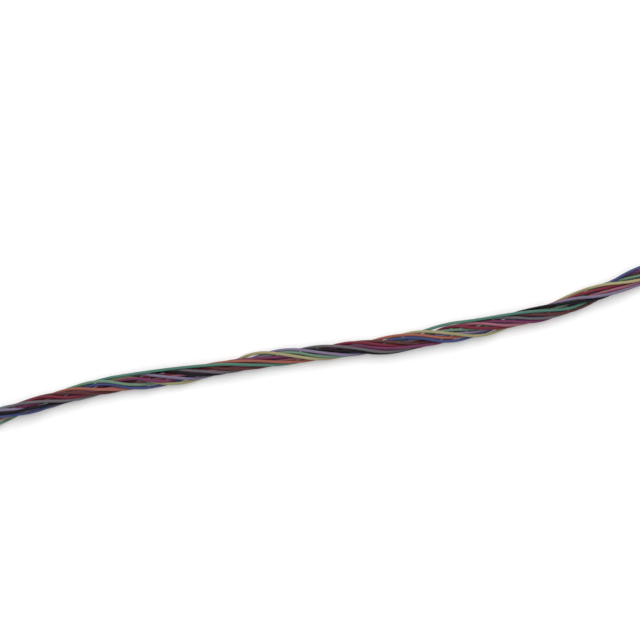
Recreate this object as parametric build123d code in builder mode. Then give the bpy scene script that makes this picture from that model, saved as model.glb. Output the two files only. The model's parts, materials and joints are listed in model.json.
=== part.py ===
"""A loose bundle of twelve coloured hook-up wires, twisted together by hand.

The bundle lies on the floor along X, with +Z up and the middle of its box over the origin.
Each wire is one solid, its insulation closed round the conductor and cut square at both ends.
All sizes are in millimetres and all turns are counted from the top of the bundle.
"""

from build123d import *
import os
from itertools import combinations
from math import asin, copysign, cos, pi, radians, sin, sqrt, tan

os.makedirs("parts", exist_ok=True)

# The wire: its size over the insulation, the flats round its section and the room between two wires.
wire_diameter = 0.52
section_sides = 6
wire_clearance = 0.05

# The bundle's middle line: stations along X at one pitch, each with its hand-chosen Y, and how much
# wider there (above 1) or narrower the bundle lies than a round one.
bundle_length = 134.4
middle_line = (
    -0.60, -0.26, 0.15, 0.52, 0.76, 0.98, 0.86, 0.33, 0.00, -0.14, -0.26, -0.59, -1.28,
    -1.69, -2.21, -2.42, -2.45, -2.64, -2.57, -2.43, -1.78, -1.02, -0.10, 0.70, 1.30,
)
spread = (
    1.14, 1.03, 0.92, 0.87, 1.06, 1.18, 1.42, 1.16, 0.88, 1.05, 0.99, 1.16, 1.09,
    1.24, 1.47, 1.14, 1.63, 1.57, 1.07, 1.33, 1.31, 1.19, 1.26, 1.24, 1.19,
)

# The lay: a wire makes one full turn from each pass over the top to the next. A pass gives the places
# along X where the wire leaves the far edge, crosses the middle and reaches the near edge.
passes = {
    "black": ((-62.1, -51.8, -47.7), (-27.8, -24.2, -19.5), (-5.4, 3.6, 8.5), (35.9, 45.8, 52.2)),
    "grey": ((-56.1, -48.6, -43.7), (-24.0, -21.1, -16.2), (0.7, 6.1, 11.9), (31.8, 35.4, 42.2)),
    "red": ((-50.5, -46.9, -42.2), (3.8, 8.8, 13.7), (22.0, 26.5, 31.4)),
    "brown": ((-48.4, -43.9, -39.3), (-21.3, -19.0, -11.6), (7.9, 11.6, 15.9), (34.7, 37.7, 44.0)),
    "orange": ((-44.9, -40.3, -35.6), (-19.3, -9.4, -4.7), (15.2, 19.9, 24.9)),
    "yellow": ((-36.1, -33.6, -30.0), (-10.8, -6.0, 1.6), (18.4, 22.2, 27.8), (47.1, 51.3, 57.6)),
    "green": ((-71.1, -65.9, -59.2), (-39.5, -36.1, -31.8), (-8.7, -3.2, 3.4), (52.2, 54.9, 60.3)),
    "turquoise": ((-37.9, -13.2, -6.5), (20.6, 39.9, 43.7)),
    "blue": ((-64.8, -57.0, -50.4), (-40.8, -38.3, -35.0), (14.1, 19.0, 23.3), (49.5, 65.0, 72.0)),
    "violet": ((-60.6, -54.9, -50.9), (-30.3, -27.1, -23.8), (-8.8, -0.4, 5.2), (42.2, 48.2, 53.8)),
    "magenta": ((-33.9, -30.3, -26.4), (5.1, 14.8, 20.2), (28.9, 32.7, 39.5), (54.1, 66.8, 74.7)),
    "pink": ((-43.1, -39.3, -36.1), (6.9, 9.9, 13.0), (26.0, 30.7, 37.7)),
}

# Wires that keep to an edge: the wire, its pass, -1 for the far edge or 1 for the near one, and until
# or from which place along X.
stays = (
    ("turquoise", 0, -1, -22.6),
    ("turquoise", 1, -1, 33.9),
    ("black", 2, 1, 23.5),
    ("blue", 3, -1, 58.7),
)

# Where each wire waits under the others when its next pass is far off, in Y and Z from the middle line.
seats = {
    "black": (0.40, -0.30),
    "grey": (-0.50, -0.40),
    "red": (0.00, -0.20),
    "brown": (0.05, -0.50),
    "orange": (-0.20, -0.50),
    "yellow": (-0.35, -0.45),
    "green": (-0.25, -0.40),
    "turquoise": (0.00, -0.40),
    "blue": (-0.50, -0.20),
    "violet": (-0.35, 0.00),
    "magenta": (0.35, 0.00),
    "pink": (-0.15, 0.10),
}

# Strands that part from the bundle: the wire, the place along X, how far it moves aside in Y there and
# over what length it comes back.
partings = (
    ("green", -61.4, -0.90, 9.0),
    ("grey", 13.2, -0.35, 7.0),
    ("turquoise", -30.7, 0.20, 11.0),
    ("blue", 59.6, 0.35, 9.0),
    ("magenta", 59.6, 0.70, 9.0),
)

# How far each wire stops short of the first and the last station, as cut by hand.
cut_short = {
    "black": (0.0, 1.3),
    "grey": (1.2, 0.2),
    "red": (0.5, 2.2),
    "brown": (1.6, 0.4),
    "orange": (2.3, 0.9),
    "yellow": (1.0, 0.0),
    "green": (0.3, 1.8),
    "turquoise": (1.9, 0.6),
    "blue": (0.8, 1.1),
    "violet": (2.6, 1.9),
    "magenta": (0.6, 0.7),
    "pink": (2.0, 1.5),
}

# How a wire turns: the length it takes to go under, the gap between passes in which it waits there,
# the share of a turn from the middle to an edge, and how much it rounds off before the edge.
going_under = 7.0
longest_gap = 21.0
edge_turn = 0.24
edge_round = 0.03

# How the wires settle: rounds, how strongly each is held to its lay, how strongly the bundle is drawn
# together, and the arc of each corner as a share of its shorter run.
settle_rounds = 450
hold = 0.25
squeeze = 0.45
arc_share = 0.45

# Worked out from the sizes above.
wire_radius = wire_diameter / 2
wire_spacing = wire_diameter + wire_clearance
outer_ring = wire_spacing / (2 * sin(pi / 9))
last = len(middle_line) - 1
station_pitch = bundle_length / last
stations = [(number - last / 2) * station_pitch for number in range(last + 1)]
wires = list(passes)


def blends(number):
    """How the smooth line mixes the corners beside this one, at a few places near it."""
    steps = (0, 0.25, 0.5, 0.75)
    if number in (0, last):
        inward = 1 if number == 0 else -1
        mixes = [((1 - t) ** 2, 2 * t - 1.5 * t * t, t * t / 2) for t in steps]
        return [tuple(zip((0, inward, 2 * inward), mix)) for mix in mixes]
    mixes = [((1 - t) ** 2 / 2, 0.5 + t - t * t, t * t / 2) for t in steps]
    return [tuple(zip((-1, 0, 1), mix)) for mix in mixes]


def marks(wire):
    """The wire's marks: place along X, turns made, and 1 where it waits under the others."""
    tops = [
        (place, turn + side * edge_turn, 0)
        for turn, places in enumerate(passes[wire])
        for side, place in zip((-1, 0, 1), places)
    ]
    tops += [(place, turn + side * edge_turn, 0) for name, turn, side, place in stays if name == wire]
    tops.sort()
    found = [(2 * stations[0], -0.5, 1), (tops[0][0] - going_under, -0.5, 1)]
    for mark, after in zip(tops, tops[1:]):
        found.append(mark)
        if after[0] - mark[0] > longest_gap and after[1] - mark[1] > 1.5 * edge_turn:
            behind = round(mark[1]) + 0.5
            found += [(mark[0] + going_under, behind, 1), (after[0] - going_under, behind, 1)]
    behind = round(tops[-1][1]) + 0.5
    return [*found, tops[-1], (tops[-1][0] + going_under, behind, 1), (3 * stations[last], behind, 1)]


def moved_aside(wire, place):
    """How far the wire has parted from the bundle in Y, at a place along X."""
    return sum(
        most * max(0, 1 - abs(place - centre) / reach)
        for name, centre, most, reach in partings
        if name == wire
    )


def laid(wire, number):
    """Where the wire is laid in the bundle's section at a station, Y + Zj, measured from the middle line."""
    place = stations[number]
    known = marks(wire)
    low, high = next((a, b) for a, b in zip(known, known[1:]) if a[0] <= place <= b[0])
    share = (place - low[0]) / (high[0] - low[0])
    turn = low[1] + share * (high[1] - low[1])
    waiting = low[2] + share * (high[2] - low[2])
    across = -asin((1 - edge_round) * sin(2 * pi * turn)) / asin(1 - edge_round)
    upward = copysign(sqrt(max(0, 1 - across ** 4)), cos(2 * pi * turn))
    if high[1] - low[1] > 1.5 * edge_turn:
        upward *= 1 - 1.2 * share * (1 - share)
    outside = outer_ring * complex(across, upward)
    at = outside + waiting * (complex(*seats[wire]) - outside)
    return complex(at.real * spread[number], at.imag / spread[number]) + moved_aside(wire, place)


def outside_the_bends(line):
    """Moves each corner outwards, so that the smooth line passes where the wire was laid."""
    moved = [line[i] + (2 * line[i] - line[i - 1] - line[i + 1]) / 6 for i in range(1, last)]
    return [line[0], *moved, line[last]]


def push_apart(lines, number, blend, spacing):
    """Pushes wires apart that pass closer than the spacing, near one place of the smooth line."""
    places = [sum(weight * line[number + step] for step, weight in blend) for line in lines]
    before, after = max(number - 1, 0), min(number + 1, last)
    slopes = [(line[after] - line[before]) / ((after - before) * station_pitch) for line in lines]
    reach = station_pitch / 8
    for one, other in combinations(range(len(lines)), 2):
        away = places[other] - places[one]
        if abs(away) < 1.3 * spacing:
            drift = slopes[other] - slopes[one]
            nearest = -(away * drift.conjugate()).real / (abs(drift) ** 2 + 0.001)
            away += drift * max(-reach, min(reach, nearest))
            outward = away / abs(away)
            slope = ((slopes[one] + slopes[other]) * outward.conjugate()).real / 2
            push = outward * max(0, spacing * sqrt(1 + slope ** 2) - abs(away)) / 2
            for step, weight in blend:
                lines[one][number + step] -= push * weight
                lines[other][number + step] += push * weight


def settle():
    """Lays the twelve wires, then lets them settle side by side until none overlaps another."""
    home = [outside_the_bends([laid(wire, number) for number in range(last + 1)]) for wire in wires]
    aside = [[moved_aside(wire, place) for place in stations] for wire in wires]
    lines = [list(line) for line in home]
    for turn in range(settle_rounds):
        progress = turn / settle_rounds
        pull = hold * max(0, 1 - progress / 0.85)
        spacing = wire_spacing * min(1, 0.55 + 0.75 * progress)
        for line, wanted, shift in zip(lines, home, aside):
            for i in range(last + 1):
                away = line[i] - shift[i]
                reach = abs(complex(away.real / spread[i], away.imag * spread[i]))
                if progress < 0.75 and reach > outer_ring:
                    line[i] -= squeeze * (1 - outer_ring / reach) * away
                line[i] += pull * (wanted[i] - line[i])
        for number in range(last + 1):
            for blend in blends(number):
                push_apart(lines, number, blend, spacing)
    return dict(zip(wires, lines))


def routes():
    """Each wire's route points, with the bundle's lowest wire on the floor and its box centred."""
    corners = {
        wire: [Vector(x, y + at.real, at.imag) for x, y, at in zip(stations, middle_line, line)]
        for wire, line in settle().items()
    }
    smooth = [
        sum((weight * points[number + step] for step, weight in blend), Vector())
        for points in corners.values()
        for number in range(1, last)
        for blend in blends(number)
    ]
    floor = min(point.Z for point in smooth) - wire_radius
    centre = (max(point.Y for point in smooth) + min(point.Y for point in smooth)) / 2
    for wire, points in corners.items():
        start, end = cut_short[wire]
        points[0] += (points[1] - points[0]) * (start / station_pitch)
        points[last] += (points[last - 1] - points[last]) * (end / station_pitch)
        corners[wire] = [point - Vector(0, centre, floor) for point in points]
    return corners


def corner_radii(points):
    """The largest arc for each corner that its two runs allow."""
    radii = []
    for before, corner, after in zip(points, points[1:], points[2:]):
        run_in, run_out = corner - before, after - corner
        half_turn = radians(run_in.get_angle(run_out)) / 2
        radii.append(arc_share * min(run_in.length, run_out.length) / tan(half_turn))
    return radii


# The wires, each one tube along its route of straight runs and tangent arcs.
for wire, points in routes().items():
    radii = corner_radii(points)

    with BuildLine() as route:
        FilletPolyline(*points, radius=radii)
    path = route.wire()

    with BuildPart() as tube:
        with BuildSketch(Plane(origin=path @ 0, z_dir=path % 0)) as section:
            RegularPolygon(wire_radius, section_sides)
        sweep(path=path)

    tube.part.label = "wire_" + wire
    export_step(tube.part, "parts/wire_" + wire + ".step")
    filled = tube.part.volume / (section.sketch.area * path.length)
    print(f"{wire}: {path.length:.1f} mm long, least radius {min(radii):.1f} mm, volume {filled:.4f} of its sweep")
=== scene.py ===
# %% [markdown]
# # A loose bundle of twelve coloured wires
#
# This notebook dresses a solid model of a hand-twisted bundle of thin hook-up wires. The solid model
# gives every wire's place and size. Here each wire gets a round jacket with drawn, slightly scuffed
# plastic, and stranded metal in its cut ends. Every length in the file is in metres when it reaches
# Blender, and the small tables are written in millimetres because a reader thinks of wire that way.

# %% Load the frame
import bpy
import json
from itertools import combinations
from math import asin, atan2, copysign, cos, pi, sin, sqrt
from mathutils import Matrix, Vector

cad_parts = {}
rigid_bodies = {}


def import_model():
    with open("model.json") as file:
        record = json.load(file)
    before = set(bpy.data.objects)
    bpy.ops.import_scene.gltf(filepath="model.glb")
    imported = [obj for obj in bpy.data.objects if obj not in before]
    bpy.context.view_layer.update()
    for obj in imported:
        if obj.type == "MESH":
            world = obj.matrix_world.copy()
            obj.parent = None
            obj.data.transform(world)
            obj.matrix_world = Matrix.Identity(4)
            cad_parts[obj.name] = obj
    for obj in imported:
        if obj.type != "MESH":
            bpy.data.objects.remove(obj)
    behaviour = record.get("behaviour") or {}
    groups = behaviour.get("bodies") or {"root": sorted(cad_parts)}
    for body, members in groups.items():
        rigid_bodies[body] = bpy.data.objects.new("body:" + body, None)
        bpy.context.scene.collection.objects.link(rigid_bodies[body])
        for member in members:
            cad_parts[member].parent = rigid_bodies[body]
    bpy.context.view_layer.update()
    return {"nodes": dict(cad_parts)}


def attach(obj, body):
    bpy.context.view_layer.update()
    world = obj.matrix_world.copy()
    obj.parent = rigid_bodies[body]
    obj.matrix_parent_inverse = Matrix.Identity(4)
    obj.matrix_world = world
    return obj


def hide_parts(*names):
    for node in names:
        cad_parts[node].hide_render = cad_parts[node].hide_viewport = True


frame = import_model()
mm = 0.001
print("nodes in the frame:", len(frame["nodes"]))

# %% [markdown]
# ## The camera
#
# The bundle is seen from above and crosses the picture almost level, rising a little to the right. A
# camera could be turned towards the bundle with a constraint, but a plain place and turn is easier to
# read: it hangs straight over the floor and is rolled by the slope of the bundle in the picture. A long
# lens keeps the wires' thickness even from end to end.

# %% Set up the camera
picture_width = 113.0 * mm
camera_height = 420 * mm
sensor_width = 36
run_in_pixels, rise_in_pixels = 639, 136.5
bundle_slope = atan2(rise_in_pixels, run_in_pixels)
picture_middle = Vector((0.97, 5.42, 1.5)) * mm

camera_data = bpy.data.cameras.new("camera")
camera_data.sensor_width = sensor_width
camera_data.lens = sensor_width * camera_height / picture_width
camera_data.clip_start = 10 * mm
camera = bpy.data.objects.new("camera", camera_data)
camera.location = picture_middle + Vector((0, 0, camera_height))
camera.rotation_euler = (0, 0, -bundle_slope)
bpy.context.scene.collection.objects.link(camera)
bpy.context.scene.camera = camera
print(f"lens {camera_data.lens:.0f} mm, roll {-bundle_slope * 180 / pi:.1f} degrees")

# %% [markdown]
# ## Where each wire lies
#
# A twisted bundle is a set of helices that lean on each other. Twelve perfect helices look like rope
# from a machine, and twelve freehand curves cut through each other. So each wire has a short table of
# the places where it passes over the top, and then all twelve settle: every wire is pulled to its own
# place and pushed off its neighbours, a few hundred times. A wire's place across the bundle is one
# complex number, sideways plus upwards, so one number holds both and a turn stays easy to read.
#
# The first sizes are the wire itself and the room kept between two wires. The middle line gives the
# bundle's sideways place at each station along it, and the spread says how much wider there, above 1, or
# narrower it lies than a round bundle.

# %% Sizes of the wire and the bundle, in millimetres
wire_diameter = 0.52
wire_clearance = 0.05
bundle_length = 134.4
middle_line = (
    -0.60, -0.26, 0.15, 0.52, 0.76, 0.98, 0.86, 0.33, 0.00, -0.14, -0.26, -0.59, -1.28,
    -1.69, -2.21, -2.42, -2.45, -2.64, -2.57, -2.43, -1.78, -1.02, -0.10, 0.70, 1.30,
)
spread = (
    1.14, 1.03, 0.92, 0.87, 1.06, 1.18, 1.42, 1.16, 0.88, 1.05, 0.99, 1.16, 1.09,
    1.24, 1.47, 1.14, 1.63, 1.57, 1.07, 1.33, 1.31, 1.19, 1.26, 1.24, 1.19,
)
wire_radius = wire_diameter / 2
wire_spacing = wire_diameter + wire_clearance
outer_ring = wire_spacing / (2 * sin(pi / 9))
last = len(middle_line) - 1
station_pitch = bundle_length / last
stations = [(number - last / 2) * station_pitch for number in range(last + 1)]
print(f"{last + 1} stations along {bundle_length:.1f} mm")

# %% [markdown]
# A wire makes one full turn from each pass over the top to the next. A pass gives three places along the
# bundle: where the wire leaves the far edge, where it crosses the middle and where it reaches the near
# edge. They are listed one by one, as a formula would make every pass alike.

# %% Each wire's passes over the top, in millimetres along the bundle
passes = {
    "black": ((-62.1, -51.8, -47.7), (-27.8, -24.2, -19.5), (-5.4, 3.6, 8.5), (35.9, 45.8, 52.2)),
    "grey": ((-56.1, -48.6, -43.7), (-24.0, -21.1, -16.2), (0.7, 6.1, 11.9), (31.8, 35.4, 42.2)),
    "red": ((-50.5, -46.9, -42.2), (3.8, 8.8, 13.7), (22.0, 26.5, 31.4)),
    "brown": ((-48.4, -43.9, -39.3), (-21.3, -19.0, -11.6), (7.9, 11.6, 15.9), (34.7, 37.7, 44.0)),
    "orange": ((-44.9, -40.3, -35.6), (-19.3, -9.4, -4.7), (15.2, 19.9, 24.9)),
    "yellow": ((-36.1, -33.6, -30.0), (-10.8, -6.0, 1.6), (18.4, 22.2, 27.8), (47.1, 51.3, 57.6)),
    "green": ((-71.1, -65.9, -59.2), (-39.5, -36.1, -31.8), (-8.7, -3.2, 3.4), (52.2, 54.9, 60.3)),
    "turquoise": ((-37.9, -13.2, -6.5), (20.6, 39.9, 43.7)),
    "blue": ((-64.8, -57.0, -50.4), (-40.8, -38.3, -35.0), (14.1, 19.0, 23.3), (49.5, 65.0, 72.0)),
    "violet": ((-60.6, -54.9, -50.9), (-30.3, -27.1, -23.8), (-8.8, -0.4, 5.2), (42.2, 48.2, 53.8)),
    "magenta": ((-33.9, -30.3, -26.4), (5.1, 14.8, 20.2), (28.9, 32.7, 39.5), (54.1, 66.8, 74.7)),
    "pink": ((-43.1, -39.3, -36.1), (6.9, 9.9, 13.0), (26.0, 30.7, 37.7)),
}
wires = list(passes)
print("passes over the top:", sum(len(places) for places in passes.values()))

# %% Wires that keep to an edge, wait inside, part from the bundle or are cut short
# Wires that keep to an edge: the wire, its pass, -1 for the far edge or 1 for the near one, and the place.
stays = (
    ("turquoise", 0, -1, -22.6),
    ("turquoise", 1, -1, 33.9),
    ("black", 2, 1, 23.5),
    ("blue", 3, -1, 58.7),
)

# Where each wire waits under the others when its next pass is far off, sideways and upwards.
seats = {
    "black": (0.40, -0.30),
    "grey": (-0.50, -0.40),
    "red": (0.00, -0.20),
    "brown": (0.05, -0.50),
    "orange": (-0.20, -0.50),
    "yellow": (-0.35, -0.45),
    "green": (-0.25, -0.40),
    "turquoise": (0.00, -0.40),
    "blue": (-0.50, -0.20),
    "violet": (-0.35, 0.00),
    "magenta": (0.35, 0.00),
    "pink": (-0.15, 0.10),
}

# Strands that part from the bundle: the wire, the place, how far aside, and over what length it comes back.
partings = (
    ("green", -61.4, -0.90, 9.0),
    ("grey", 13.2, -0.35, 7.0),
    ("turquoise", -30.7, 0.20, 11.0),
    ("blue", 59.6, 0.35, 9.0),
    ("magenta", 59.6, 0.70, 9.0),
)

# How far each wire stops short of the first and the last station.
cut_short = {
    "black": (0.0, 1.3),
    "grey": (1.2, 0.2),
    "red": (0.5, 2.2),
    "brown": (1.6, 0.4),
    "orange": (2.3, 0.9),
    "yellow": (1.0, 0.0),
    "green": (0.3, 1.8),
    "turquoise": (1.9, 0.6),
    "blue": (0.8, 1.1),
    "violet": (2.6, 1.9),
    "magenta": (0.6, 0.7),
    "pink": (2.0, 1.5),
}
print("wires:", ", ".join(wires))

# %% [markdown]
# The wires are laid first. The bundle lies a little flat, so a wire crosses the top nearly straight and
# then waits inside until its next pass. An arcsine does that: it turns the swing of a helix into straight
# runs with rounded ends.

# %% How a wire turns
# The length it takes to go under, and the gap between passes in which it waits there.
going_under = 7.0
longest_gap = 21.0
# The share of a turn from the middle to an edge, how much it rounds off there, and how far it dips
# towards the middle on its way under the bundle.
edge_turn = 0.24
edge_round = 0.03
dip = 1.2
print(f"a wire goes from the top to an edge in {edge_turn:.2f} of a turn")


# %% Lay the wires
def marks(wire):
    """The wire's marks: place along X, turns made, and 1 where it waits under the others."""
    tops = [
        (place, turn + side * edge_turn, 0)
        for turn, places in enumerate(passes[wire])
        for side, place in zip((-1, 0, 1), places)
    ]
    tops += [(place, turn + side * edge_turn, 0) for name, turn, side, place in stays if name == wire]
    tops.sort()
    found = [(2 * stations[0], -0.5, 1), (tops[0][0] - going_under, -0.5, 1)]
    for mark, after in zip(tops, tops[1:]):
        found.append(mark)
        if after[0] - mark[0] > longest_gap and after[1] - mark[1] > 1.5 * edge_turn:
            behind = round(mark[1]) + 0.5
            found += [(mark[0] + going_under, behind, 1), (after[0] - going_under, behind, 1)]
    behind = round(tops[-1][1]) + 0.5
    return [*found, tops[-1], (tops[-1][0] + going_under, behind, 1), (3 * stations[last], behind, 1)]


def moved_aside(wire, place):
    """How far the wire has parted from the bundle in Y, at a place along X."""
    return sum(
        most * max(0, 1 - abs(place - centre) / reach)
        for name, centre, most, reach in partings
        if name == wire
    )


def laid(wire, number):
    """Where the wire is laid in the section at a station, Y + Zj, measured from the middle line."""
    place = stations[number]
    known = marks(wire)
    low, high = next((a, b) for a, b in zip(known, known[1:]) if a[0] <= place <= b[0])
    share = (place - low[0]) / (high[0] - low[0])
    turn = low[1] + share * (high[1] - low[1])
    waiting = low[2] + share * (high[2] - low[2])
    across = -asin((1 - edge_round) * sin(2 * pi * turn)) / asin(1 - edge_round)
    upward = copysign(sqrt(max(0, 1 - across ** 4)), cos(2 * pi * turn))
    if high[1] - low[1] > 1.5 * edge_turn:
        upward *= 1 - dip * share * (1 - share)
    outside = outer_ring * complex(across, upward)
    at = outside + waiting * (complex(*seats[wire]) - outside)
    return complex(at.real * spread[number], at.imag / spread[number]) + moved_aside(wire, place)


def outside_the_bends(line):
    """Moves each corner outwards, so that the smooth line passes where the wire was laid."""
    moved = [line[i] + (2 * line[i] - line[i - 1] - line[i + 1]) / 6 for i in range(1, last)]
    return [line[0], *moved, line[last]]


# %% [markdown]
# Then they settle. A smooth line of the third order mixes three corners at a time, so the wires are
# pushed apart at the places where that smooth line runs, and not at its corners. Two wires that cross
# come nearest between two of those places, so the push is worked out for the nearest point.


# %% Find the places where wires can touch
def blends(number):
    """How the smooth line mixes the corners beside this one, at a few places near it."""
    steps = (0, 0.25, 0.5, 0.75)
    if number in (0, last):
        inward = 1 if number == 0 else -1
        mixes = [((1 - t) ** 2, 2 * t - 1.5 * t * t, t * t / 2) for t in steps]
        return [tuple(zip((0, inward, 2 * inward), mix)) for mix in mixes]
    mixes = [((1 - t) ** 2 / 2, 0.5 + t - t * t, t * t / 2) for t in steps]
    return [tuple(zip((-1, 0, 1), mix)) for mix in mixes]


def push_apart(lines, number, blend, spacing):
    """Pushes wires apart that pass closer than the spacing, near one place of the smooth line."""
    places = [sum(weight * line[number + step] for step, weight in blend) for line in lines]
    before, after = max(number - 1, 0), min(number + 1, last)
    slopes = [(line[after] - line[before]) / ((after - before) * station_pitch) for line in lines]
    # Past half a step, the nearest point belongs to the next place.
    reach = station_pitch / 8
    for one, other in combinations(range(len(lines)), 2):
        away = places[other] - places[one]
        if abs(away) < 1.3 * spacing:
            drift = slopes[other] - slopes[one]
            nearest = -(away * drift.conjugate()).real / (abs(drift) ** 2 + 0.001)
            away += drift * max(-reach, min(reach, nearest))
            outward = away / abs(away)
            slope = ((slopes[one] + slopes[other]) * outward.conjugate()).real / 2
            push = outward * max(0, spacing * sqrt(1 + slope ** 2) - abs(away)) / 2
            for step, weight in blend:
                lines[one][number + step] -= push * weight
                lines[other][number + step] += push * weight


# %% Let the wires settle
# How strongly each wire is held to its lay and the bundle is drawn together, and the share of the rounds
# in which either still works. The room between wires grows from a share of the full one.
settle_rounds = 450
hold, hold_until = 0.25, 0.85
squeeze, squeeze_until = 0.45, 0.75
first_room, room_growth = 0.55, 0.75


def settle():
    """Lays the twelve wires, then lets them settle side by side."""
    home = [outside_the_bends([laid(wire, number) for number in range(last + 1)]) for wire in wires]
    aside = [[moved_aside(wire, place) for place in stations] for wire in wires]
    lines = [list(line) for line in home]
    for turn in range(settle_rounds):
        progress = turn / settle_rounds
        pull = hold * max(0, 1 - progress / hold_until)
        spacing = wire_spacing * min(1, first_room + room_growth * progress)
        for line, wanted, shift in zip(lines, home, aside):
            for i in range(last + 1):
                away = line[i] - shift[i]
                reach = abs(complex(away.real / spread[i], away.imag * spread[i]))
                if progress < squeeze_until and reach > outer_ring:
                    line[i] -= squeeze * (1 - outer_ring / reach) * away
                line[i] += pull * (wanted[i] - line[i])
        for number in range(last + 1):
            for blend in blends(number):
                push_apart(lines, number, blend, spacing)
    return dict(zip(wires, lines))


settled = settle()
print("settled in", settle_rounds, "rounds")

# %% [markdown]
# The settled corners become points in space. The lowest wire lies on the floor, the bundle's box is
# centred, and each wire stops a little short of the last station, as a hand with cutters leaves it.


# %% Work out the route points, in metres
def routes():
    """Each wire's route points, with the bundle's lowest wire on the floor and its box centred."""
    corners = {
        wire: [Vector((x, y + at.real, at.imag)) for x, y, at in zip(stations, middle_line, line)]
        for wire, line in settled.items()
    }
    smooth = [
        sum((weight * points[number + step] for step, weight in blend), Vector())
        for points in corners.values()
        for number in range(1, last)
        for blend in blends(number)
    ]
    floor = min(point.z for point in smooth) - wire_radius
    centre = (max(point.y for point in smooth) + min(point.y for point in smooth)) / 2
    for wire, points in corners.items():
        start, end = cut_short[wire]
        points[0] += (points[1] - points[0]) * (start / station_pitch)
        points[last] += (points[last - 1] - points[last]) * (end / station_pitch)
        corners[wire] = [(point - Vector((0, centre, floor))) * mm for point in points]
    return corners


route = routes()
print("first point of the black wire in mm:", [round(x / mm, 3) for x in route["black"][0]])

# %% [markdown]
# ## A smooth line for each wire
#
# A wire bends evenly, so its line is a NURBS spline of order three with the route points as its control
# points. The order and the end clamp are set after the points are in, because a spline that still has
# one point can't take them. Blender turns the spline into a chain of short edges, which the node trees
# below walk along.


# %% Draw the lines
def smooth_line(name, points):
    """An object that holds the chain of edges of the NURBS spline through these control points."""
    curve = bpy.data.curves.new(name, "CURVE")
    curve.dimensions = "3D"
    spline = curve.splines.new("NURBS")
    spline.points.add(len(points) - 1)
    for knot, point in zip(spline.points, points):
        knot.co = (*point, 1)
    spline.order_u = 3
    spline.use_endpoint_u = True
    spline.resolution_u = 24
    drawn = bpy.data.objects.new(name + "_spline", curve)
    bpy.context.scene.collection.objects.link(drawn)
    chain = bpy.data.objects.new(name, bpy.data.meshes.new_from_object(drawn))
    bpy.context.scene.collection.objects.link(chain)
    bpy.data.objects.remove(drawn)
    return chain


for wire in wires:
    chain = smooth_line("line_" + wire, route[wire])

# %% [markdown]
# ## Small helpers for node trees
#
# The trees below are built in the script. A few helpers keep that readable. The first ones make a node
# and fill its inputs, add a tree's named inputs and outputs, and do one step of arithmetic.


# %% Helpers for any node tree
def node(tree, kind, values=None, **settings):
    """A node of this kind. Values are constants or sockets for its inputs, by name or number."""
    made = tree.nodes.new(kind)
    for name, value in settings.items():
        setattr(made, name, value)
    for key, value in (values or {}).items():
        socket = made.inputs[key]
        if isinstance(value, bpy.types.NodeSocket):
            tree.links.new(value, socket)
        else:
            socket.default_value = value
    return made


def add_sockets(tree, inputs, outputs):
    """Named inputs and outputs for a tree, as name and socket kind."""
    for name, kind in inputs:
        tree.interface.new_socket(name, in_out="INPUT", socket_type="NodeSocket" + kind)
    for name, kind in outputs:
        tree.interface.new_socket(name, in_out="OUTPUT", socket_type="NodeSocket" + kind)
    return tree.nodes.new("NodeGroupInput").outputs, tree.nodes.new("NodeGroupOutput").inputs


def maths(tree, operation, *values):
    """One step of arithmetic, as a socket."""
    return node(tree, "ShaderNodeMath", dict(enumerate(values)), operation=operation).outputs[0]


def vector(tree, operation, *values, **named):
    """One step of vector arithmetic, as a socket."""
    given = {**dict(enumerate(values)), **named}
    return node(tree, "ShaderNodeVectorMath", given, operation=operation).outputs[0]


# %% [markdown]
# The next ones are for geometry. A field such as the position changes when points move, so a captured
# value lets a later step read what it was before. A finished tree ends in real geometry with its
# material. The last helper sets a modifier's inputs by their identifiers, which can't be mixed up as names
# can, and bakes the result into a plain mesh.


# %% Helpers for geometry
def remembered(tree, geometry, **values):
    """The geometry with each value captured on its points: outputs for it and for each name."""
    held = node(tree, "GeometryNodeCaptureAttribute", {"Geometry": geometry}, domain="POINT")
    for name, (kind, value) in values.items():
        held.capture_items.new(kind, name)
        tree.links.new(value, held.inputs[name])
    return held.outputs


def end_tree(tree, geometry, material, result):
    """Ends a tree: smooth shading, real geometry instead of copies, and the material."""
    smooth = node(tree, "GeometryNodeSetShadeSmooth", {"Geometry": geometry}).outputs[0]
    real = node(tree, "GeometryNodeRealizeInstances", {"Geometry": smooth}).outputs[0]
    dressed = node(tree, "GeometryNodeSetMaterial", {"Geometry": real, "Material": material}).outputs[0]
    tree.links.new(dressed, result)


def grown(name, chain, tree, values):
    """A new piece: the tree run over a chain of edges, baked into a plain mesh."""
    piece = bpy.data.objects.new(name, chain.data.copy())
    bpy.context.scene.collection.objects.link(piece)
    modifier = piece.modifiers.new(name, "NODES")
    modifier.node_group = tree
    for item in tree.interface.items_tree:
        if item.in_out == "INPUT" and item.name in values:
            modifier[item.identifier] = values[item.name]
    graph = bpy.context.evaluated_depsgraph_get()
    baked = bpy.data.meshes.new_from_object(
        piece.evaluated_get(graph), preserve_all_data_layers=True, depsgraph=graph
    )
    piece.modifiers.clear()
    piece.data = baked
    baked.name = name
    return piece


# %% [markdown]
# ## The jacket
#
# The jacket is a thin plastic tube. A curve with a round bevel would give the tube, but not the cut
# ends, where the wall shows its thickness. So a geometry node tree sweeps a circle along the line and
# then works on the two open rims: it extrudes each rim over the wall, into the bore and shut. Each
# point also keeps where it would lie if the wire were pulled straight, and the plastic's pattern uses
# that, so streaks run along the wire however it twists. The tree is written in three parts: the line's
# waver, the cut ends, and the tube that joins them.


# %% Let the line waver
waves_in_a_metre = 170.0
print("a wave is about", round(1 / waves_in_a_metre / mm, 1), "mm long")


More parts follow.
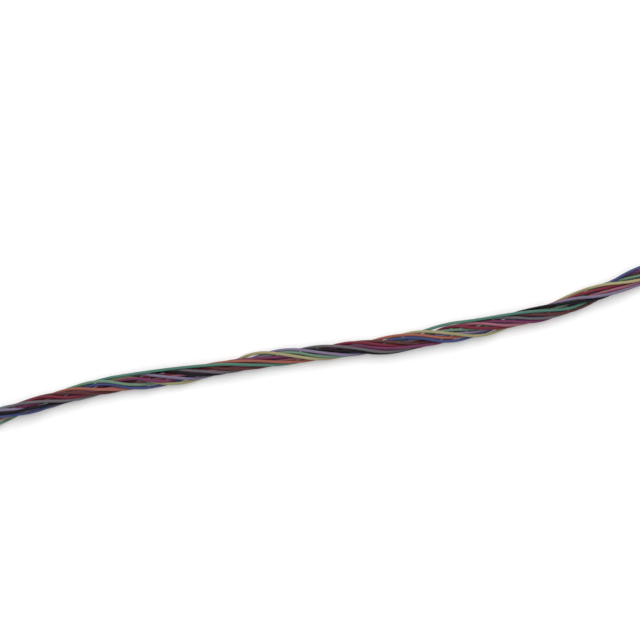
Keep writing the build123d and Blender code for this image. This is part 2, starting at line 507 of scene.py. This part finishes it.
def wavering(tree, line, waver, seed):
    """The line moved a little to and fro, as if the wire had been straightened between fingers."""
    place = node(tree, "GeometryNodeInputPosition").outputs[0]
    wave = node(
        tree, "ShaderNodeTexNoise",
        {"Vector": place, "W": seed, "Scale": waves_in_a_metre, "Detail": 1.0},
        noise_dimensions="4D",
    )
    wave = vector(tree, "SUBTRACT", wave.outputs["Color"], (0.5, 0.5, 0.5))
    wave = vector(tree, "SCALE", wave, Scale=waver)
    return node(tree, "GeometryNodeSetPosition", {"Geometry": line, "Offset": wave}).outputs[0]


# %% [markdown]
# A cut end is five short steps from the open rim. Two round the outer edge off, the third reaches the
# bore, the fourth goes down into it, and the fifth draws the bore's end together until its points merge.


# %% Shape the cut ends
nearly_shut = 0.98
merged_within = 0.006 * mm
print(f"the bore's end closes by {nearly_shut:.0%} before its points merge")


def cut_ends(tree, skin, radial, outward, given):
    """Closes both open rims of a tube over its wall and inside its bore, and marks them as cut."""
    edge_faces = node(tree, "GeometryNodeInputMeshEdgeNeighbors").outputs[0]
    compared = {2: edge_faces, 3: 1}
    rim = node(tree, "FunctionNodeCompare", compared, data_type="INT", operation="EQUAL").outputs[0]
    wall = maths(tree, "SUBTRACT", given["Radius"], given["Bore"])
    rest_of_wall = maths(tree, "SUBTRACT", given["Rim"], wall)
    steps = (
        (maths(tree, "MULTIPLY", given["Rim"], -0.3), maths(tree, "MULTIPLY", given["Rim"], 0.7)),
        (maths(tree, "MULTIPLY", given["Rim"], -0.7), maths(tree, "MULTIPLY", given["Rim"], 0.3)),
        (rest_of_wall, 0.0),
        (0.0, maths(tree, "MULTIPLY", given["Bore Depth"], -1.0)),
        (maths(tree, "MULTIPLY", given["Bore"], -nearly_shut), 0.0),
    )
    for sideways, onwards in steps:
        drawn = {"Mesh": skin, "Selection": rim, "Offset Scale": 0.0}
        pulled = node(tree, "GeometryNodeExtrudeMesh", drawn, mode="EDGES")
        rim = pulled.outputs["Top"]
        move = vector(
            tree, "ADD",
            vector(tree, "SCALE", radial, Scale=sideways),
            vector(tree, "SCALE", outward, Scale=onwards),
        )
        moved = {"Geometry": pulled.outputs["Mesh"], "Selection": rim, "Offset": move}
        skin = node(tree, "GeometryNodeSetPosition", moved).outputs[0]
        skin = node(
            tree, "GeometryNodeStoreNamedAttribute",
            {"Geometry": skin, "Selection": rim, "Name": "cut_face", "Value": 1.0},
            data_type="FLOAT", domain="POINT",
        ).outputs[0]
    merged = {"Geometry": skin, "Distance": merged_within}
    return node(tree, "GeometryNodeMergeByDistance", merged).outputs[0]


# %% Build the tree of the jacket
def jacket_tree():
    """Sweeps a closed jacket with hollow cut ends along a chain of edges."""
    tree = bpy.data.node_groups.new("jacket_along_a_line", "GeometryNodeTree")
    given, result = add_sockets(
        tree,
        [
            ("Line", "Geometry"), ("Radius", "Float"), ("Bore", "Float"), ("Bore Depth", "Float"),
            ("Rim", "Float"), ("Ring Pitch", "Float"), ("Sides", "Int"), ("Waver", "Float"),
            ("Seed", "Int"), ("Material", "Material"),
        ],
        [("Jacket", "Geometry")],
    )
    line = node(tree, "GeometryNodeMeshToCurve", {"Mesh": given["Line"]}).outputs[0]
    ringed = {"Curve": line, "Length": given["Ring Pitch"]}
    line = node(tree, "GeometryNodeResampleCurve", ringed, mode="LENGTH").outputs[0]
    line = wavering(tree, line, given["Waver"], given["Seed"])

    # What each ring of the tube has to remember.
    place = node(tree, "GeometryNodeInputPosition").outputs[0]
    tangent = node(tree, "GeometryNodeInputTangent").outputs[0]
    spline = node(tree, "GeometryNodeSplineParameter").outputs
    side = maths(tree, "SIGN", maths(tree, "SUBTRACT", spline["Factor"], 0.5))
    outward = vector(tree, "SCALE", tangent, Scale=side)
    held = remembered(
        tree, line,
        Middle=("VECTOR", place), Outward=("VECTOR", outward), Along=("FLOAT", spline["Length"]),
    )

    # The round section, which remembers its own place on the circle.
    sized = {"Resolution": given["Sides"], "Radius": given["Radius"]}
    circle = node(tree, "GeometryNodeCurvePrimitiveCircle", sized).outputs["Curve"]
    section = remembered(tree, circle, Around=("VECTOR", place))
    swept = {"Curve": held[0], "Profile Curve": section[0]}
    tube = node(tree, "GeometryNodeCurveToMesh", swept).outputs[0]

    # Every point keeps the way straight out of the tube, and its place on the wire pulled straight.
    radial = vector(tree, "NORMALIZE", vector(tree, "SUBTRACT", place, held["Middle"]))
    kept = remembered(tree, tube, Radial=("VECTOR", radial))
    across = node(tree, "ShaderNodeSeparateXYZ", {0: section["Around"]}).outputs
    straight = node(tree, "ShaderNodeCombineXYZ", {0: held["Along"], 1: across[0], 2: across[1]}).outputs[0]
    skin = node(
        tree, "GeometryNodeStoreNamedAttribute",
        {"Geometry": kept[0], "Name": "pulled_straight", "Value": straight},
        data_type="FLOAT_VECTOR", domain="POINT",
    ).outputs[0]

    skin = cut_ends(tree, skin, kept["Radial"], held["Outward"], given)
    end_tree(tree, skin, given["Material"], result["Jacket"])
    return tree


jacket_along_a_line = jacket_tree()
print("the jacket's tree has", len(jacket_along_a_line.nodes), "nodes")

# %% [markdown]
# ## The conductor
#
# Inside the plastic runs a conductor of seven fine strands, one in the middle and six laid round it. It
# only shows where the wire is cut, so the tree keeps a short stretch of the line at each end, copies it
# seven times, winds six of the copies round the first and sweeps a small circle along each. The strands
# stand a little out of the plastic.


# %% Keep a short stretch of each end
points_in_an_end = 16
print("points along a strand:", points_in_an_end)


def both_ends(tree, line, reach, stand_out):
    """The first and the last stretch of a line, each drawn out past the end by how far it stands out."""
    whole = node(tree, "GeometryNodeCurveLength", {"Curve": line}).outputs[0]
    tangent = node(tree, "GeometryNodeInputTangent").outputs[0]
    both = node(tree, "GeometryNodeJoinGeometry")
    ends = []
    for start, end, first, final, way in (
        (0.0, reach, 1, 0, -1.0),
        (maths(tree, "SUBTRACT", whole, reach), whole, 0, 1, 1.0),
    ):
        stretch = {"Curve": line, 4: start, 5: end}
        part = node(tree, "GeometryNodeTrimCurve", stretch, mode="LENGTH").outputs[0]
        divided = {"Curve": part, "Count": points_in_an_end}
        part = node(tree, "GeometryNodeResampleCurve", divided, mode="COUNT").outputs[0]
        tips = node(tree, "GeometryNodeCurveEndpointSelection", {"Start Size": first, "End Size": final})
        out = vector(tree, "SCALE", tangent, Scale=maths(tree, "MULTIPLY", stand_out, way))
        moved = {"Geometry": part, "Selection": tips.outputs[0], "Offset": out}
        ends.append(node(tree, "GeometryNodeSetPosition", moved).outputs[0])
    for part in reversed(ends):
        tree.links.new(part, both.inputs[0])
    return both.outputs[0]


# %% Build the tree of the strands
strand_count = 7
strand_sides = 10
shortest_cut, longest_cut = -0.03 * mm, 0.04 * mm


def strand_tree():
    """Lays seven fine strands in both ends of a chain of edges."""
    tree = bpy.data.node_groups.new("strands_in_the_ends", "GeometryNodeTree")
    given, result = add_sockets(
        tree,
        [
            ("Line", "Geometry"), ("Strand Radius", "Float"), ("Reach", "Float"), ("Stand Out", "Float"),
            ("Lay", "Float"), ("Seed", "Int"), ("Material", "Material"),
        ],
        [("Strands", "Geometry")],
    )
    line = node(tree, "GeometryNodeMeshToCurve", {"Mesh": given["Line"]}).outputs[0]
    ends = both_ends(tree, line, given["Reach"], given["Stand Out"])

    # Seven copies, of which the first stays in the middle.
    copied = {"Geometry": ends, "Amount": strand_count}
    copies = node(tree, "GeometryNodeDuplicateElements", copied, domain="SPLINE").outputs
    number = copies["Duplicate Index"]
    turned = maths(tree, "MULTIPLY", number, 2 * pi / (strand_count - 1))
    spline = node(tree, "GeometryNodeSplineParameter").outputs
    wound = maths(tree, "MULTIPLY", maths(tree, "DIVIDE", spline["Length"], given["Lay"]), 2 * pi)
    angle = maths(tree, "ADD", turned, wound)
    off_middle = maths(tree, "MINIMUM", number, 1.0)
    ring = maths(tree, "MULTIPLY", maths(tree, "MULTIPLY", given["Strand Radius"], 2.0), off_middle)
    tangent = node(tree, "GeometryNodeInputTangent").outputs[0]
    normal = node(tree, "GeometryNodeInputNormal").outputs[0]
    beside = vector(tree, "CROSS_PRODUCT", tangent, normal)
    offset = vector(
        tree, "ADD",
        vector(tree, "SCALE", normal, Scale=maths(tree, "MULTIPLY", ring, maths(tree, "COSINE", angle))),
        vector(tree, "SCALE", beside, Scale=maths(tree, "MULTIPLY", ring, maths(tree, "SINE", angle))),
    )
    strands = node(tree, "GeometryNodeSetPosition", {"Geometry": copies[0], "Offset": offset}).outputs[0]

    # No two strands are cut at quite the same length.
    uneven = node(
        tree, "FunctionNodeRandomValue",
        {2: shortest_cut, 3: longest_cut, "ID": number, "Seed": given["Seed"]},
        data_type="FLOAT",
    ).outputs[1]
    tips = node(tree, "GeometryNodeCurveEndpointSelection", {"Start Size": 1, "End Size": 1}).outputs[0]
    side = maths(tree, "SIGN", maths(tree, "SUBTRACT", spline["Factor"], 0.5))
    nudge = vector(tree, "SCALE", tangent, Scale=maths(tree, "MULTIPLY", uneven, side))
    moved = {"Geometry": strands, "Selection": tips, "Offset": nudge}
    strands = node(tree, "GeometryNodeSetPosition", moved).outputs[0]

    # A small circle along each, closed at both ends.
    sized = {"Resolution": strand_sides, "Radius": given["Strand Radius"]}
    circle = node(tree, "GeometryNodeCurvePrimitiveCircle", sized).outputs["Curve"]
    swept = {"Curve": strands, "Profile Curve": circle, "Fill Caps": True}
    metal = node(tree, "GeometryNodeCurveToMesh", swept).outputs[0]
    end_tree(tree, metal, given["Material"], result["Strands"])
    return tree


strands_in_the_ends = strand_tree()
print("the strands' tree has", len(strands_in_the_ends.nodes), "nodes")

# %% [markdown]
# ## The plastic
#
# Wire insulation is drawn through a die, so it is smooth with faint streaks along its length, and its
# colour drifts a little. Handling leaves dull rubs. All twelve jackets share this, so it is one node
# group that gives a colour, a roughness and a height, and each material keeps its own shader. The group
# reads the pulled-straight place that the jacket's tree stored, so a pattern can be long along the wire
# and short across it.


# %% Turn screen colours into linear ones
def linear(colour):
    """A screen colour of 0 to 255 as Blender's linear colour."""
    steps = [c / 255 for c in colour]
    return (*[c / 12.92 if c <= 0.04045 else ((c + 0.055) / 1.055) ** 2.4 for c in steps], 1)


print("middle grey is", round(linear((128, 128, 128))[0], 3), "in linear light")

# %% Build the group for drawn plastic
# How often each pattern comes in a metre, along the wire and across it.
drift_scale = (90, 40, 40)
streak_scale = (140, 7000, 7000)
grain_scale = (9000, 9000, 9000)
rub_scale = (700, 1900, 1900)
rubbed_grey = (0.4, 0.39, 0.38, 1)
cut_grey = (0.8, 0.8, 0.8, 1)


def drawn_plastic_group():
    """Colour, roughness and height of drawn plastic that has been handled."""
    tree = bpy.data.node_groups.new("drawn_plastic", "ShaderNodeTree")
    given, result = add_sockets(
        tree,
        [
            ("Colour", "Color"), ("Drift", "Float"), ("Streaks", "Float"),
            ("Rubs", "Float"), ("Gloss", "Float"), ("Seed", "Float"),
        ],
        [("Colour", "Color"), ("Roughness", "Float"), ("Height", "Float")],
    )
    place = node(tree, "ShaderNodeAttribute", attribute_name="pulled_straight").outputs["Vector"]
    cut = node(tree, "ShaderNodeAttribute", attribute_name="cut_face").outputs["Fac"]

    def noise(scale, detail, roughness=0.5):
        """A cloudy pattern of this scale."""
        stretched = node(tree, "ShaderNodeMapping", {"Vector": place, "Scale": scale}).outputs[0]
        return node(
            tree, "ShaderNodeTexNoise",
            {
                "Vector": stretched, "W": given["Seed"], "Scale": 1.0,
                "Detail": detail, "Roughness": roughness,
            },
            noise_dimensions="4D",
        ).outputs[0]

    def stretch(value, low, high):
        """The pattern with its contrast pulled out, from 0 to 1."""
        return node(tree, "ShaderNodeMapRange", {0: value, 1: low, 2: high}).outputs[0]

    def either_way(value, most):
        """The pattern as a change up or down, by half of the most."""
        return maths(tree, "MULTIPLY", maths(tree, "SUBTRACT", value, 0.5), most)

    def mixed(share, one, other):
        """Two colours mixed by this share."""
        return node(tree, "ShaderNodeMix", {0: share, 6: one, 7: other}, data_type="RGBA").outputs[2]

    drift = stretch(noise(drift_scale, 2), 0.3, 0.7)
    streak = stretch(noise(streak_scale, 3), 0.25, 0.75)
    grain = noise(grain_scale, 2)
    rub = stretch(noise(rub_scale, 4, 0.62), 0.56, 0.7)
    rub = maths(tree, "MULTIPLY", rub, given["Rubs"])

    # Its colour drifts and streaks. Rubs are a trace greyer, and cut faces are paler.
    light = either_way(drift, given["Drift"])
    light = maths(tree, "ADD", light, either_way(streak, given["Streaks"]))
    light = maths(tree, "ADD", light, 1.0)
    lit = {"Color": given["Colour"], "Value": light}
    colour = node(tree, "ShaderNodeHueSaturation", lit).outputs[0]
    colour = mixed(maths(tree, "MULTIPLY", rub, 0.1), colour, rubbed_grey)
    colour = mixed(maths(tree, "MULTIPLY", cut, 0.25), colour, cut_grey)
    tree.links.new(colour, result["Colour"])

    # Rubs and cut faces are duller than the drawn skin.
    rough = maths(tree, "ADD", given["Gloss"], maths(tree, "MULTIPLY", rub, 0.25))
    rough = maths(tree, "ADD", rough, either_way(streak, 0.08))
    rough = maths(tree, "ADD", rough, maths(tree, "MULTIPLY", cut, 0.25))
    tree.links.new(rough, result["Roughness"])

    # Streaks and grain stand up a little, and rubs lie lower.
    height = maths(tree, "MULTIPLY", streak, maths(tree, "MULTIPLY", given["Streaks"], 4.0))
    height = maths(tree, "ADD", height, maths(tree, "MULTIPLY", grain, 0.35))
    height = maths(tree, "SUBTRACT", height, maths(tree, "MULTIPLY", rub, 0.6))
    tree.links.new(height, result["Height"])
    return tree


drawn_plastic = drawn_plastic_group()
print("shared groups:", drawn_plastic.name)

# %% [markdown]
# Each wire's plastic has its own pigment. The table holds screen colours, muted as the wires look in the
# picture and tuned over a few test renders. The plastics differ a little in gloss, and a dark one keeps
# its rubs faint, because a pale rub on it would look like a spot of light.

# %% Make the twelve plastics
pigments = {
    "black": (9, 8, 13),
    "brown": (79, 43, 43),
    "red": (107, 35, 51),
    "orange": (140, 82, 70),
    "yellow": (147, 139, 104),
    "green": (95, 122, 103),
    "turquoise": (72, 112, 99),
    "blue": (59, 66, 109),
    "violet": (115, 104, 129),
    "grey": (92, 86, 93),
    "magenta": (100, 46, 78),
    "pink": (141, 87, 101),
}
dark_below = 150
faint_rubs, plain_rubs = 0.1, 0.5


def plastic(wire, number):
    """The material of one wire's jacket."""
    material = bpy.data.materials.new(wire + "_plastic")
    material.use_nodes = True
    tree = material.node_tree
    shader = tree.nodes["Principled BSDF"]
    look = node(tree, "ShaderNodeGroup", node_tree=drawn_plastic)
    for name, value in (
        ("Colour", linear(pigments[wire])),
        ("Drift", 0.22),
        ("Streaks", 0.16),
        ("Rubs", plain_rubs if sum(pigments[wire]) > dark_below else faint_rubs),
        ("Gloss", 0.36 + 0.02 * (number % 3)),
        ("Seed", 3.7 * number),
    ):
        look.inputs[name].default_value = value
    relief = {"Height": look.outputs["Height"], "Strength": 0.35, "Distance": 0.01 * mm}
    bump = node(tree, "ShaderNodeBump", relief).outputs[0]
    tree.links.new(look.outputs["Colour"], shader.inputs["Base Color"])
    tree.links.new(look.outputs["Roughness"], shader.inputs["Roughness"])
    tree.links.new(bump, shader.inputs["Normal"])
    shader.inputs["IOR"].default_value = 1.45
    shader.inputs["Specular IOR Level"].default_value = 0.12
    return material


plastics = {wire: plastic(wire, number) for number, wire in enumerate(wires)}
print("plastics:", len(plastics))

# %% [markdown]
# The strands are tinned copper. Tin is grey and a little dull, with copper showing where the cutter
# smeared it, so the metal's colour runs between the two with a fine grain.

# %% Make the tinned copper
tin_grey = (176, 174, 170)
copper_red = (196, 128, 96)


def tinned_copper():
    """The material of the strands in the cut ends."""
    material = bpy.data.materials.new("tinned_copper")
    material.use_nodes = True
    tree = material.node_tree
    shader = tree.nodes["Principled BSDF"]
    place = node(tree, "ShaderNodeTexCoord").outputs["Object"]
    worn = node(tree, "ShaderNodeTexNoise", {"Vector": place, "Scale": 9000.0, "Detail": 3.0}).outputs[0]
    share = node(tree, "ShaderNodeMapRange", {0: worn, 1: 0.55, 2: 0.72}).outputs[0]
    colour = node(
        tree, "ShaderNodeMix",
        {0: share, 6: linear(tin_grey), 7: linear(copper_red)},
        data_type="RGBA",
    ).outputs[2]
    grain = node(tree, "ShaderNodeTexNoise", {"Vector": place, "Scale": 26000.0, "Detail": 2.0}).outputs[0]
    rough = node(tree, "ShaderNodeMapRange", {0: grain, 3: 0.22, 4: 0.42}).outputs[0]
    relief = {"Height": grain, "Strength": 0.3, "Distance": 0.004 * mm}
    bump = node(tree, "ShaderNodeBump", relief).outputs[0]
    tree.links.new(colour, shader.inputs["Base Color"])
    tree.links.new(rough, shader.inputs["Roughness"])
    tree.links.new(bump, shader.inputs["Normal"])
    shader.inputs["Metallic"].default_value = 1.0
    return material


tin = tinned_copper()
print("metal:", tin.name)

# %% [markdown]
# ## The twelve wires
#
# Now each line grows its jacket and its strands. The jacket takes the place of the solid wire of the
# frame, which is hidden. The strands go with it.

# %% Grow the wires
strand_diameter = 0.10
bore_radius = 0.153
for number, wire in enumerate(wires):
    chain = bpy.data.objects["line_" + wire]
    jacket = grown(
        "jacket_" + wire, chain, jacket_along_a_line,
        {
            "Radius": wire_radius * mm, "Bore": bore_radius * mm, "Bore Depth": 0.9 * mm,
            "Rim": 0.035 * mm, "Ring Pitch": 0.3 * mm, "Sides": 18, "Waver": 0.03 * mm,
            "Seed": number, "Material": plastics[wire],
        },
    )
    strands = grown(
        "conductor_" + wire, chain, strands_in_the_ends,
        {
            "Strand Radius": strand_diameter / 2 * mm, "Reach": 2.4 * mm, "Stand Out": 0.12 * mm,
            "Lay": 6.0 * mm, "Seed": number, "Material": tin,
        },
    )
    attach(jacket, "root")
    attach(strands, "root")
    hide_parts("wire_" + wire)
    bpy.data.objects.remove(chain)
    print(f"{wire}: {len(jacket.data.polygons)} faces, strands {len(strands.data.polygons)} faces")

# %% [markdown]
# ## Floor, light and background
#
# The wires lie on a plain white sheet. Over half of the light comes from the sky, which is bright overhead
# and dim near the floor, so the top of a wire is light and the gaps are dark. The rest comes from one
# large lamp above the far side, which leaves a soft shadow. The sheet renders white because its own colour
# is pale and it adds a little light where it is seen directly. The sky is plain white there, too.


# %% Lay the floor
def seen_directly(tree):
    """One where a ray comes from the camera, a mirror or through glass, and none elsewhere."""
    path = node(tree, "ShaderNodeLightPath").outputs
    seen = maths(tree, "ADD", path["Is Camera Ray"], path["Is Glossy Ray"])
    return maths(tree, "MINIMUM", maths(tree, "ADD", seen, path["Is Transmission Ray"]), 1.0)


floor_mesh = bpy.data.meshes.new("floor")
half = 1.5
level = -0.02 * mm
corners = [(x, y, level) for x, y in ((-half, -half), (half, -half), (half, half), (-half, half))]
floor_mesh.from_pydata(corners, [], [(0, 1, 2, 3)])
floor = bpy.data.objects.new("floor", floor_mesh)
bpy.context.scene.collection.objects.link(floor)

sheet = bpy.data.materials.new("white_sheet")
sheet.use_nodes = True
shader = sheet.node_tree.nodes["Principled BSDF"]
shader.inputs["Base Color"].default_value = (0.92, 0.92, 0.92, 1)
shader.inputs["Roughness"].default_value = 0.8
shader.inputs["Emission Color"].default_value = (1, 1, 1, 1)
added = maths(sheet.node_tree, "MULTIPLY", seen_directly(sheet.node_tree), 0.05)
sheet.node_tree.links.new(added, shader.inputs["Emission Strength"])
floor_mesh.materials.append(sheet)
print("floor is", 2 * half, "m wide")

# %% Set the lamp
lamp_data = bpy.data.lights.new("key_lamp", "AREA")
lamp_data.size = 0.55
lamp_data.energy = 2.0
lamp = bpy.data.objects.new("key_lamp", lamp_data)
lamp.location = (0.04, 0.26, 0.46)
lamp.rotation_euler = lamp.location.to_track_quat("Z", "Y").to_euler()
bpy.context.scene.collection.objects.link(lamp)

# %% Set the sky
dim, bright = 0.05, 0.95
dim_below, bright_above = 0.15, 0.75

world = bpy.data.worlds.new("white_room")
world.use_nodes = True
bpy.context.scene.world = world
sky = world.node_tree.nodes["Background"]
sky.inputs["Color"].default_value = (1, 1, 1, 1)
direction = node(world.node_tree, "ShaderNodeTexCoord").outputs["Generated"]
upwards = node(world.node_tree, "ShaderNodeSeparateXYZ", {0: direction}).outputs["Z"]
glow = {0: upwards, 1: dim_below, 2: bright_above, 3: dim, 4: bright}
soft = node(world.node_tree, "ShaderNodeMapRange", glow).outputs[0]
brightness = maths(world.node_tree, "MAXIMUM", soft, seen_directly(world.node_tree))
world.node_tree.links.new(brightness, sky.inputs["Strength"])
bpy.context.scene.view_settings.view_transform = "Standard"
print(f"the sky goes from {dim} near the floor to {bright} overhead")
